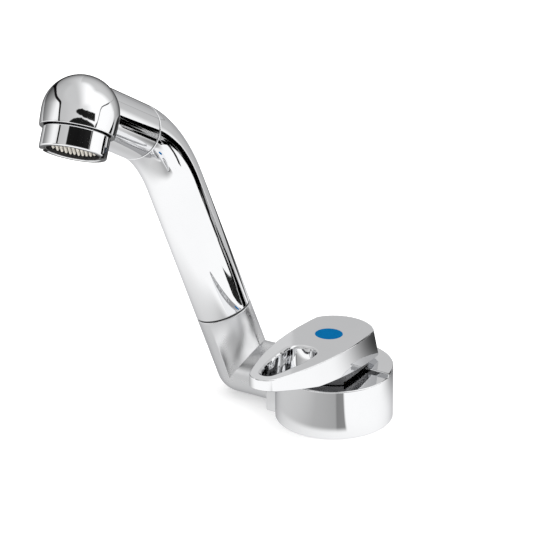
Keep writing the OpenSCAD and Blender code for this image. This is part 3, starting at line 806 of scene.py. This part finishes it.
b = Build()
hexa = rounded([(23 * math.cos(math.radians(60 * k)), 23 * math.sin(math.radians(60 * k)), 0.8) for k in range(6)], True)
bore = [(x, y, nx, ny) for x, y, nx, ny in arc_pts(0, 0, 16.05, 0, 360, 96, True)[:-1]][::-1]
prism(b, hexa, -27.3, -19.3, r_top=0.05, r_bot=0.9, holes=[bore], cap_top=False)
lathe(b, rounded([(16.05, -19.4, 0.05), (23.5, -19.4, 0.4), (23.5, -17.3, 0.5), (16.05, -17.3, 0.4)], True), Matrix(), closed=True, n=160)
b.object("nut_shell", "base", "white_plastic", MATS["white_plastic"], ["backnut"])

b = Build()
AT_CORNER = Matrix.Translation((0, 0, -66))
lathe(
    b,
    rounded(
        [(2.9, -1, 0), (4.4, -1, 0), (4.4, 5, 0.6), (6, 5.6, 0.3), (6, 7.6, 0.3), (4.8, 7.7, 0.1), (4.8, 12.7, 0.15), (3.6, 12.7, 0.1), (3.6, 15.3, 0.1), (4.8, 15.3, 0.15),
         (4.8, 17.6, 0.15), (3.75, 17.6, 0.1), (3.75, 19.5, 0.1), (4.8, 19.5, 0.15), (4.8, 28, 0.6), (2.9, 28, 0.2)],
        True,
    ),
    AT_CORNER,
    closed=True,
    n=96,
)
ball = [(4.43 * math.sin(math.radians(a)), -4.43 * math.cos(math.radians(a)), math.sin(math.radians(a)), -math.cos(math.radians(a))) for a in range(0, 181, 5)]
ball[0], ball[-1] = (0.0, -4.43, 0.0, -1.0), (0.0, 4.43, 0.0, 1.0)
lathe(b, ball, AT_CORNER, n=96)
lathe(
    b,
    rounded(
        [(2.9, -1, 0), (4.4, -1, 0), (4.4, 5.5, 1.2), (5.7, 7.4, 1.2), (5.7, 8.8, 1.2), (4.4, 11, 1.0), (5.7, 12.9, 1.2), (5.7, 14.3, 1.2), (4.2, 16.5, 1.0), (5.05, 18.1, 1.0),
         (5.05, 19.4, 1.0), (4, 21.4, 0.8), (4.9, 22.6, 0.8), (4.9, 26.2, 0.7), (2.9, 26.2, 0.4)],
        True,
        8,
    ),
    AT_CORNER @ rot("X", -135),
    closed=True,
    n=96,
)
b.object("connector_shell", "connector", "blue_plastic", MATS["blue_plastic"], ["hose_connector"])

# ---------------------------------------------------------------- camera

CAM = Vector((0, 0, 60)) + Vector((math.sin(math.radians(31)) * math.cos(math.radians(23.62)), -math.cos(math.radians(31)) * math.cos(math.radians(23.62)), math.sin(math.radians(23.62)))) * 1300
F_PX = 3119.5
aim = (Vector((0, 0, 60)) - CAM).normalized()
right = aim.cross(Vector((0, 0, 1))).normalized()
up = right.cross(aim)
to = (aim + right * ((266.5 - 334.04) / F_PX) + up * ((283.62 - 266.5) / F_PX)).normalized()
turn = aim.rotation_difference(to)
look = turn @ Matrix((right, up, -aim)).transposed().to_quaternion()
cam = bpy.data.objects.new("camera", bpy.data.cameras.new("camera"))
cam.data.sensor_width = 36.0
cam.data.lens = 36.0 * F_PX / 533.0
cam.data.clip_start, cam.data.clip_end = 0.05, 50.0
cam.location = CAM * MM
cam.rotation_mode = "QUATERNION"
cam.rotation_quaternion = look
bpy.context.scene.collection.objects.link(cam)
bpy.context.scene.camera = cam

# ---------------------------------------------------------------- floor and light

# directions in the studio: azimuth from the camera's side, positive to the image's right
TO_CAM = Vector((math.sin(math.radians(31)), -math.cos(math.radians(31)), 0))
TO_RIGHT = Vector((math.cos(math.radians(31)), math.sin(math.radians(31)), 0))

wt = None  # the node tree that the helpers below add to


def node(kind, **inputs):
    n = wt.nodes.new(kind)
    for key, value in inputs.items():
        sock = n.inputs[int(key[1:])]
        if hasattr(value, "is_output"):
            wt.links.new(value, sock)
        else:
            sock.default_value = value
    return n


def math_node(op, a, b_=None):
    n = node("ShaderNodeMath", _0=a) if b_ is None else node("ShaderNodeMath", _0=a, _1=b_)
    n.operation = op
    return n.outputs[0]


def dot(v, w):
    n = node("ShaderNodeVectorMath", _0=v, _1=tuple(w))
    n.operation = "DOT_PRODUCT"
    return n.outputs["Value"]


def ramp(fac, stops, kind="LINEAR"):
    n = node("ShaderNodeValToRGB", _0=fac)
    cr = n.color_ramp
    cr.interpolation = kind
    while len(cr.elements) > 1:
        cr.elements.remove(cr.elements[-1])
    cr.elements[0].position = (stops[0][0] + 180) / 360
    cr.elements[0].color = (stops[0][1],) * 3 + (1,)
    for a, v in stops[1:]:
        e = cr.elements.new((a + 180) / 360)
        e.color = (v, v, v, 1)
    return n.outputs["Color"]


def step(value, lo_, hi_):
    n = node("ShaderNodeMapRange", _0=value, _1=lo_, _2=hi_, _3=0.0, _4=1.0)
    n.interpolation_type = "SMOOTHSTEP"
    return n.outputs[0]



def blend(fac, a, b_):
    """a where fac is 0, b where it is 1, for single values."""
    n = node("ShaderNodeMix", _0=fac, _2=a, _3=b_)
    return n.outputs[0]


def times(*parts):
    out = parts[0]
    for q in parts[1:]:
        out = math_node("MULTIPLY", out, q)
    return out


def fall(value, lo_, hi_):
    return math_node("SUBTRACT", 1.0, step(value, lo_, hi_))


# the floor: plain and pale; what the chrome sees of it is painted shade and painted reflection, darker near the tap,
# under the arm, in front of the base and behind it
me = bpy.data.meshes.new("floor")
me.from_pydata([(-6, -6, -0.0002), (6, -6, -0.0002), (6, 6, -0.0002), (-6, 6, -0.0002)], [], [(0, 1, 2, 3)])
floor = bpy.data.objects.new("floor", me)
pale = material("pale_floor", (0.90, 0.90, 0.90), 0.8, vary=0.01, noise=3.0, Emission_Color=(1, 1, 1, 1), Emission_Strength=0.22)
floor.data.materials.append(pale)
wt = pale.node_tree
spot = node("ShaderNodeVectorMath", _0=wt.nodes.new("ShaderNodeTexCoord").outputs["Object"])
spot.operation = "SCALE"
spot.inputs["Scale"].default_value = 1000.0
spot = spot.outputs[0]
p_right, p_front = dot(spot, TO_RIGHT), dot(spot, TO_CAM)
p_back = math_node("MULTIPLY", p_front, -1.0)
away = node("ShaderNodeVectorMath", _0=spot, _1=(0, 0, 0))
away.operation = "LENGTH"
away = away.outputs["Value"]
arm = node("ShaderNodeVectorMath", _0=spot, _1=(-64, -14, 0))
arm.operation = "DISTANCE"
arm = arm.outputs["Value"]
around = math_node("ADD", math_node("DIVIDE", math_node("ARCTAN2", p_right, p_front), 2 * math.pi), 0.5)
behind = math_node("MULTIPLY", math_node("ARCTAN2", p_right, p_back), 180 / math.pi)
foot = node("ShaderNodeVectorMath", _0=spot, _1=(25, 85, 0))
foot.operation = "DISTANCE"
foot = foot.outputs["Value"]
# painted shade and painted reflections behind the tap, a grey patch and black patches, seen only by the chrome
seen = blend(times(step(behind, -3, 3), fall(behind, 52, 62), step(away, 330, 520)), 1.08, 0.62)
seen = blend(times(step(behind, -20, -14), fall(behind, -2, 4), step(away, 480, 560)), seen, 0.04)
seen = blend(times(step(behind, -4, 2), fall(behind, 34, 40), step(away, 215, 250), fall(away, 370, 420)), seen, 0.06)
# painted shade on the floor in front of the base, seen only in reflections
front = ramp(around, [(-180, 1.08), (-95, 1.08), (-60, 0.75), (-28, 0.48), (2.6, 0.40), (3.2, 0.24), (14.5, 0.27), (16, 1.08), (180, 1.08)])
seen = blend(times(step(away, 31, 37), fall(away, 80, 130)), seen, front)
# painted shade at the foot of the right-hand card, and painted shade under the arm
seen = blend(fall(foot, 5, 72), seen, 0.06)
seen = blend(math_node("MULTIPLY", fall(arm, 20, 105), 0.55), seen, 0.40)
# glossy rays see this painted shade and painted reflection as the floor's glow; other rays see the plain floor
glow = wt.nodes.new("ShaderNodeEmission")
wt.links.new(seen, glow.inputs["Strength"])
both = wt.nodes.new("ShaderNodeMixShader")
wt.links.new(wt.nodes.new("ShaderNodeLightPath").outputs["Is Glossy Ray"], both.inputs[0])
out = next(q for q in wt.nodes if q.type == "OUTPUT_MATERIAL")
wt.links.new(out.inputs["Surface"].links[0].from_socket, both.inputs[1])
wt.links.new(glow.outputs[0], both.inputs[2])
wt.links.new(both.outputs[0], out.inputs["Surface"])
bpy.context.scene.collection.objects.link(floor)

world = bpy.data.worlds.new("studio")
bpy.context.scene.world = world
world.use_nodes = True
wt = world.node_tree
wt.nodes.clear()


sky = wt.nodes.new("ShaderNodeTexCoord").outputs["Generated"]
x_r, y_c, z_u = dot(sky, TO_RIGHT), dot(sky, TO_CAM), dot(sky, (0, 0, 1))
turn_u = math_node("ADD", math_node("DIVIDE", math_node("ARCTAN2", x_r, y_c), 2 * math.pi), 0.5)
elev = math_node("MULTIPLY", math_node("ARCSINE", z_u), 180 / math.pi)
# a dark gap between the table's white walls and the lamps above runs all round
gap_at = math_node(
    "SUBTRACT",
    math_node(
        "MULTIPLY",
        ramp(turn_u, [(-180, 0.48), (-166, 0.48), (-158, 0.54), (-148, 0.65), (-140, 0.72), (-130, 0.785), (-120, 0.825), (-110, 0.86), (-100, 0.895), (-90, 0.92), (-82, 0.925), (-75, 0.90), (-70, 0.875), (-62, 0.85), (-40, 0.87), (-26, 0.955), (-10, 0.955), (5, 0.94), (20, 0.91), (40, 0.83), (55, 0.745), (63, 0.69), (70, 0.69), (78, 0.745), (86, 0.765), (95, 0.745), (118, 0.65), (130, 0.59), (140, 0.54), (150, 0.51), (180, 0.48)]),
        100.0,
    ),
    50.0,
)
gap_w = math_node(
    "MULTIPLY",
    ramp(turn_u, [(-180, 0.5), (-166, 0.6), (-158, 0.45), (-148, 0.27), (-70, 0.27), (-63, 0.2), (-56, 0.0), (62, 0.0), (66, 0.18), (70, 0.10), (112, 0.12), (124, 0.0), (180, 0.0)]),
    10.0,
)
off = math_node("SUBTRACT", elev, gap_at)
over = step(off, -0.5, 0.5)
above = ramp(turn_u, [(-180, 0.80), (-165, 0.66), (-150, 0.55), (-100, 0.55), (-50, 0.58), (-20, 0.64), (10, 0.72), (30, 0.80), (45, 1.0), (55, 1.12), (112, 1.12), (126, 0.68), (180, 0.66)])
below = ramp(turn_u, [(-180, 0.30), (-165, 0.20), (-150, 0.17), (-135, 0.25), (-120, 0.36), (-110, 0.52), (-100, 0.78), (-90, 1.0), (-80, 1.0), (-70, 0.80), (-60, 0.35), (-50, 0.50), (-30, 0.72), (0, 0.5), (64, 0.6), (70, 1.1), (116, 1.1), (126, 0.64), (180, 0.62)])
mixed = node("ShaderNodeMix", _0=over)
mixed.data_type = "RGBA"
wt.links.new(below, mixed.inputs[6])
wt.links.new(above, mixed.inputs[7])
gap = math_node("SUBTRACT", 1.0, step(math_node("SUBTRACT", math_node("ABSOLUTE", off), gap_w), -0.6, 0.6))
turn_d = math_node("MULTIPLY", math_node("SUBTRACT", turn_u, 0.5), 360.0)


def oval(mid_off, half_off, mid_turn, half_turn):
    """1 inside an oval placed along the dark line."""
    a = math_node("DIVIDE", math_node("SUBTRACT", off, mid_off), half_off)
    c = math_node("DIVIDE", math_node("SUBTRACT", turn_d, mid_turn), half_turn)
    return times(fall(math_node("ADD", math_node("MULTIPLY", a, a), math_node("MULTIPLY", c, c)), 0.85, 1.1), fall(turn_d, 62, 64))


corner_dark = times(step(turn_d, -78, -72), fall(turn_d, -50, -46), step(elev, 8, 13), fall(elev, 28, 31))
dark = math_node("MAXIMUM", math_node("MAXIMUM", oval(0.0, 4.6, 22, 50), oval(8.2, 2.9, 56, 62)), math_node("MAXIMUM", gap, corner_dark))
keep = math_node("SUBTRACT", 1.0, math_node("MULTIPLY", dark, 0.985))
# straight overhead one straight edge parts the grey side from the white one
roof = blend(step(dot(sky, TO_RIGHT * math.sin(math.radians(100)) + TO_CAM * math.cos(math.radians(100))), -0.12, 0.36), 0.62, 1.15)
even = node("ShaderNodeMix", _0=step(elev, 46, 62))
even.data_type = "RGBA"
wt.links.new(mixed.outputs[2], even.inputs[6])
wt.links.new(roof, even.inputs[7])
lit = node("ShaderNodeVectorMath", _0=even.outputs[2])
lit.operation = "SCALE"
wt.links.new(keep, lit.inputs["Scale"])
bg = wt.nodes.new("ShaderNodeBackground")
wt.links.new(lit.outputs[0], bg.inputs["Color"])
plain = wt.nodes.new("ShaderNodeBackground")
plain.inputs["Color"].default_value = (1, 1, 1, 1)
pick = wt.nodes.new("ShaderNodeMixShader")
wt.links.new(wt.nodes.new("ShaderNodeLightPath").outputs["Is Camera Ray"], pick.inputs[0])
wt.links.new(bg.outputs[0], pick.inputs[1])
wt.links.new(plain.outputs[0], pick.inputs[2])
wt.links.new(pick.outputs[0], wt.nodes.new("ShaderNodeOutputWorld").inputs["Surface"])

sun = bpy.data.objects.new("overhead", bpy.data.lights.new("overhead", "SUN"))
sun.data.energy = 2.6
sun.data.angle = math.radians(110)
sun.rotation_euler = (math.radians(12), math.radians(10), 0)
sun.visible_glossy = False
bpy.context.scene.collection.objects.link(sun)


def card(name, az, dist, width, z0, z1, shade):
    """Upright card seen only in reflections."""
    c = (TO_CAM * math.cos(math.radians(az)) + TO_RIGHT * math.sin(math.radians(az))) * dist
    t = Vector((-c.y, c.x, 0)).normalized() * width / 2
    c += Vector((-70, -30, 0))
    me = bpy.data.meshes.new(name)
    pts = [c - t + Vector((0, 0, z0)), c + t + Vector((0, 0, z0)), c + t + Vector((0, 0, z1)), c - t + Vector((0, 0, z1))]
    me.from_pydata([tuple(p * MM) for p in pts], [], [(0, 1, 2, 3)])
    ob = bpy.data.objects.new(name, me)
    ob.data.materials.append(material(name, (shade,) * 3, 0.9, vary=0.1))
    ob.visible_camera = ob.visible_shadow = ob.visible_diffuse = False
    bpy.context.scene.collection.objects.link(ob)


card("flag_right", 106, 160, 64, 16, 104, 0.004)
card("flag_low", 92, 215, 150, 31, 46, 0.004)
wt = bpy.data.materials["flag_right"].node_tree
bsdf = next(q for q in wt.nodes if q.type == "BSDF_PRINCIPLED")
place = wt.nodes.new("ShaderNodeTexCoord").outputs["Object"]
cells = node("ShaderNodeTexVoronoi", _0=place)
cells.inputs["Scale"].default_value = 48.0
high = dot(place, (0, 0, 1000))
shade = times(fall(high, 80, 92), step(cells.outputs["Distance"], 0.60, 0.70), 0.40)
grey = node("ShaderNodeCombineColor", _0=shade, _1=shade, _2=shade)
wt.links.new(grey.outputs[0], bsdf.inputs["Base Color"])
bsdf.inputs["Specular IOR Level"].default_value = 0.0
# seen only in a first reflection, not in a reflection of one
both = wt.nodes.new("ShaderNodeMixShader")
wt.links.new(math_node("GREATER_THAN", wt.nodes.new("ShaderNodeLightPath").outputs["Glossy Depth"], 1.5), both.inputs[0])
wt.links.new(bsdf.outputs[0], both.inputs[1])
wt.links.new(wt.nodes.new("ShaderNodeBsdfTransparent").outputs[0], both.inputs[2])
wt.links.new(both.outputs[0], next(q for q in wt.nodes if q.type == "OUTPUT_MATERIAL").inputs["Surface"])

bpy.context.scene.view_settings.view_transform = "Standard"
bpy.context.scene.view_settings.look = "None"
